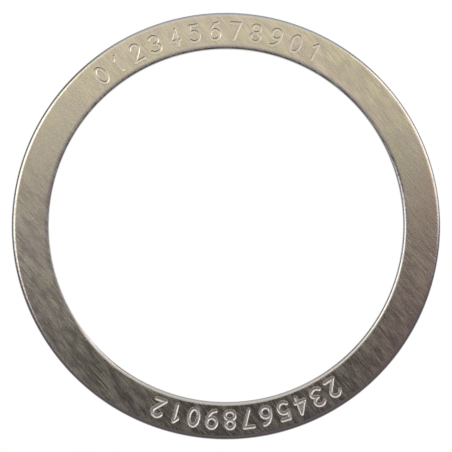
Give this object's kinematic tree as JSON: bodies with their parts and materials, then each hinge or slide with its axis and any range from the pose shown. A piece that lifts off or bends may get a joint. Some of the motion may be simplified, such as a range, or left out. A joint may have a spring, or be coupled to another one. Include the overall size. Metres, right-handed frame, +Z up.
{
  "type": "shim ring",
  "caption": "Thin flat steel shim ring with a smooth round bore and softly rolled upper edges, slipped over a tube to take up axial play.",
  "frame": {"origin": "centre of the bore on the ring's underside", "axes": "+Z runs up the bore axis, out of the face whose edges are rolled; +X and +Y lie in the ring's plane"},
  "size_m": [0.0346, 0.0346, 0.0005],
  "materials": {
    "steel": "bare sheet steel, satin, with fine slanting scratches and soft cloudy streaks"
  },
  "bodies": {
    "root": {"shim_ring": "steel"}
  },
  "joints": []
}
